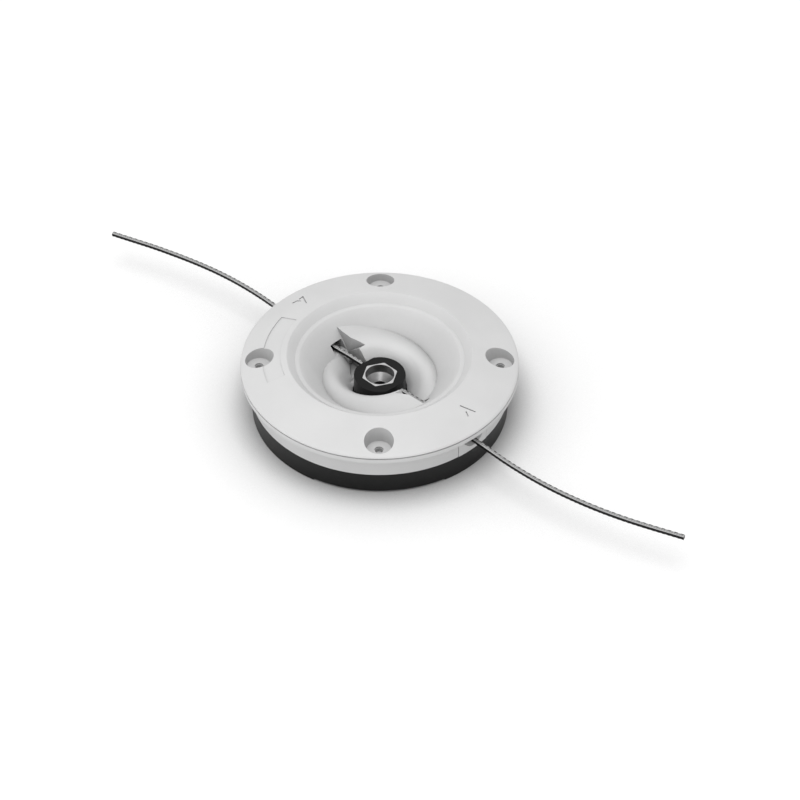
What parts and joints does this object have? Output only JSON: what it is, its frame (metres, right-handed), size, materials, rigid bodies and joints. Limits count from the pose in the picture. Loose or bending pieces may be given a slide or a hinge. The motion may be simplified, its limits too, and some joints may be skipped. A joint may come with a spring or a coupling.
{
  "type": "fixed line trimmer head",
  "caption": "Fixed line trimmer head: dished ground plate with screw recesses and spiral ramps around a threaded hub, sprung line clamps inside, cut lines out of the sides.",
  "frame": {"origin": "on the turning axis, in the plane of the tool-side cover's rim, which the head lies on", "axes": "+Z along the turning axis, from the tool side up to the ground side; the lines leave at 135 and 315 degrees from +X"},
  "size_m": [0.3104, 0.2458, 0.0366],
  "materials": {
    "light_moulding": "fine satin grain",
    "dark_moulding": "satin",
    "steel": "bright zinc",
    "line": "serrated nylon line"
  },
  "bodies": {
    "head": {"base_housing": "light_moulding", "tool_side_cover": "dark_moulding", "hex_nut": "steel", "outlet_insert_a": "light_moulding", "outlet_insert_b": "light_moulding", "jaw_pin_a": "steel", "jaw_pin_b": "steel", "jaw_spring_a": "steel", "jaw_spring_b": "steel", "cover_screws": "steel", "mowing_line_a": "line", "mowing_line_b": "line"},
    "jaw_a": {"clamp_jaw_a": "dark_moulding"},
    "jaw_b": {"clamp_jaw_b": "dark_moulding"}
  },
  "joints": [
    {"name": "jaw_a_swing", "type": "hinge", "parent": "head", "child": "jaw_a", "pos_m": [-0.04738, 0.02899, 0.0195], "axis": [0, 0, -1], "range_deg": [0, 14], "stiffness_Nm_per_rad": 0.01, "springref_deg": -20.05, "deforming": ["jaw_spring_a"]},
    {"name": "jaw_b_swing", "type": "hinge", "parent": "head", "child": "jaw_b", "pos_m": [0.04738, -0.02899, 0.0195], "axis": [0, 0, -1], "range_deg": [0, 14], "stiffness_Nm_per_rad": 0.01, "springref_deg": -20.05, "deforming": ["jaw_spring_b"]}
  ]
}
